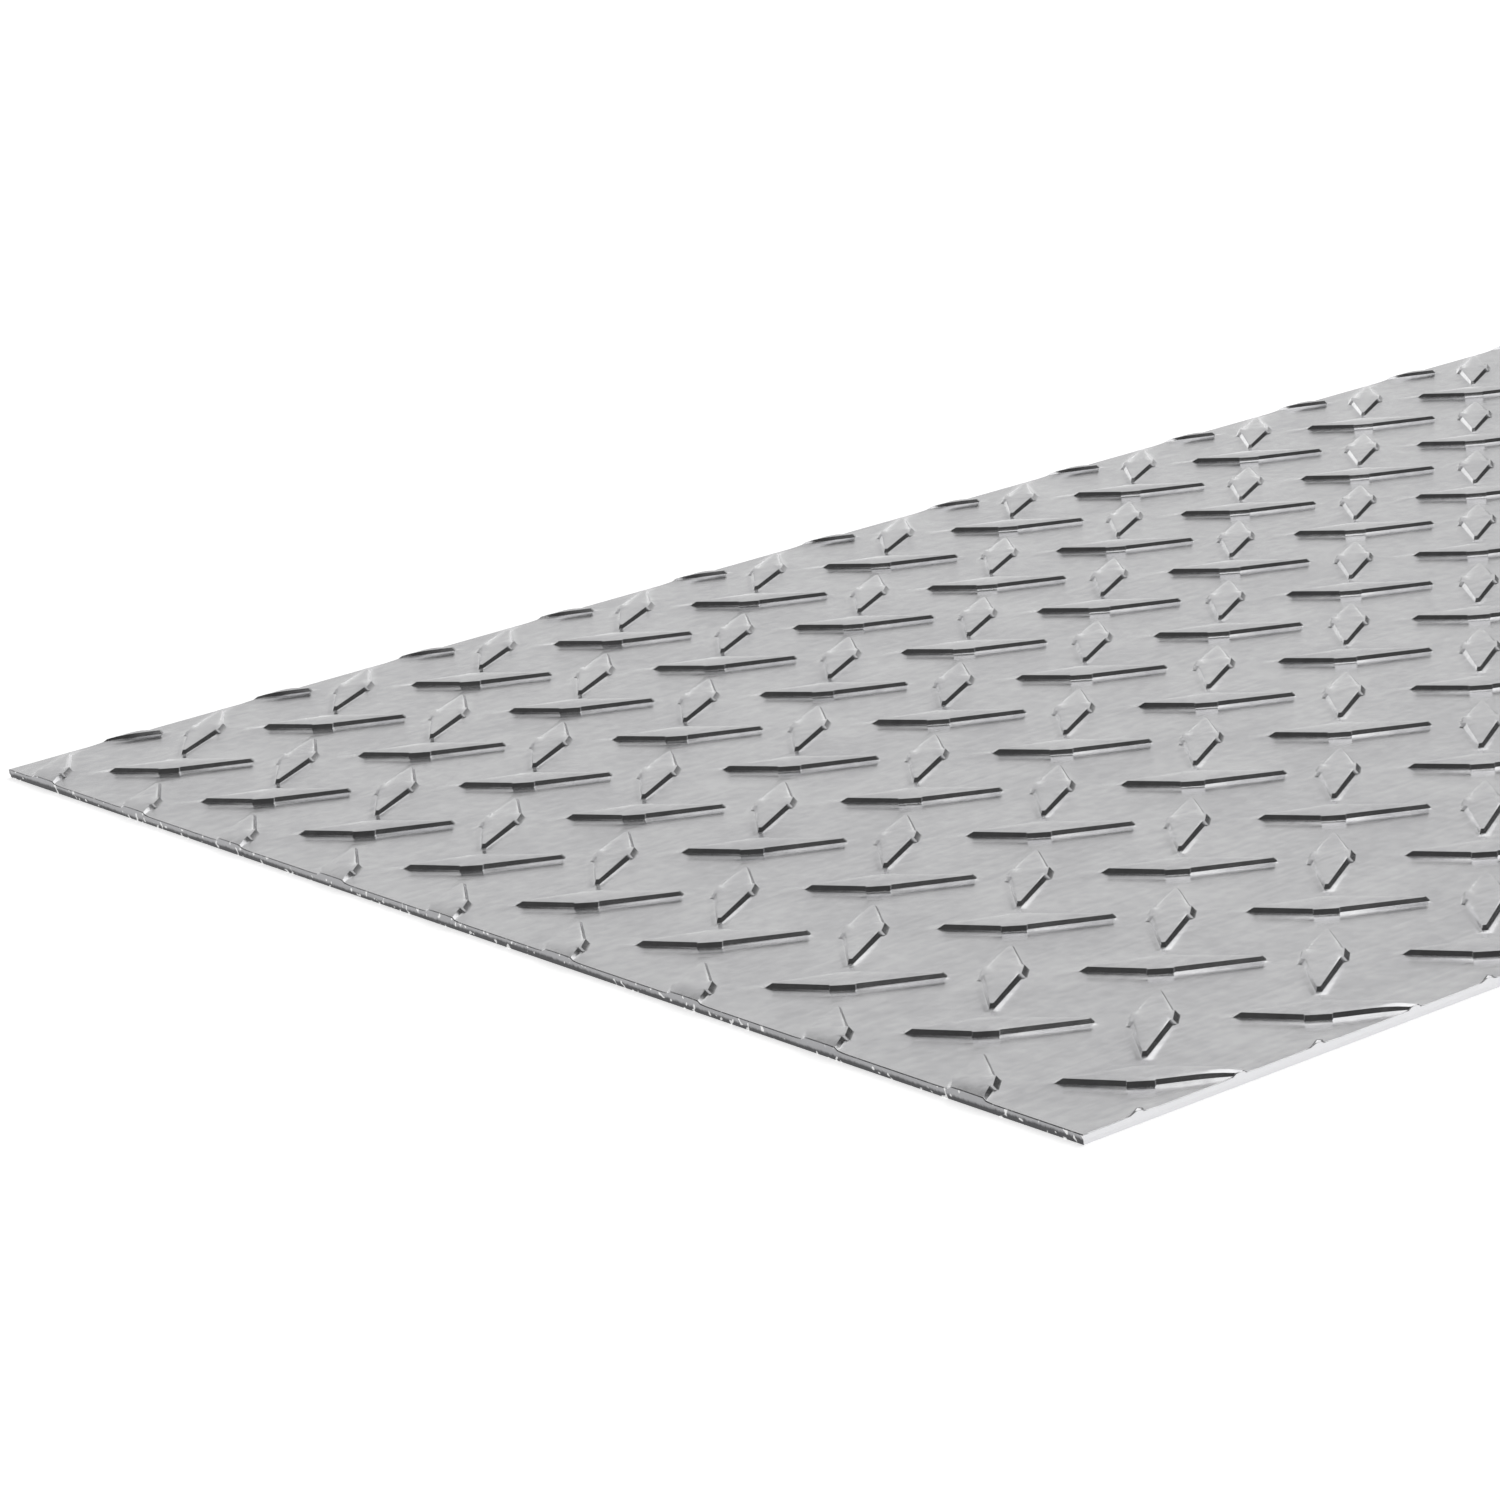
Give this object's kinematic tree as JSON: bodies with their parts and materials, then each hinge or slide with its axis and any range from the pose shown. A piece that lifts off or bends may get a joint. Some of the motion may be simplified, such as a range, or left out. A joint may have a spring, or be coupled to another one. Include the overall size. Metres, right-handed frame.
{
  "type": "checker steel plate",
  "caption": "Flat rectangular steel sheet with a diamond tread pattern of raised elongated lugs on its upper face and a plain underside.",
  "frame": {"origin": "middle of the flat underside", "axes": "+X along the sheet's length, +Y across its width, +Z out of the patterned face"},
  "size_m": [0.6096, 0.3048, 0.0026],
  "materials": {
    "mill_steel": "mill finish, dry and unpainted, pale grey with a low sheen; bright metal on the sheared edges"
  },
  "bodies": {
    "root": {"checker_plate": "mill_steel"}
  },
  "joints": []
}
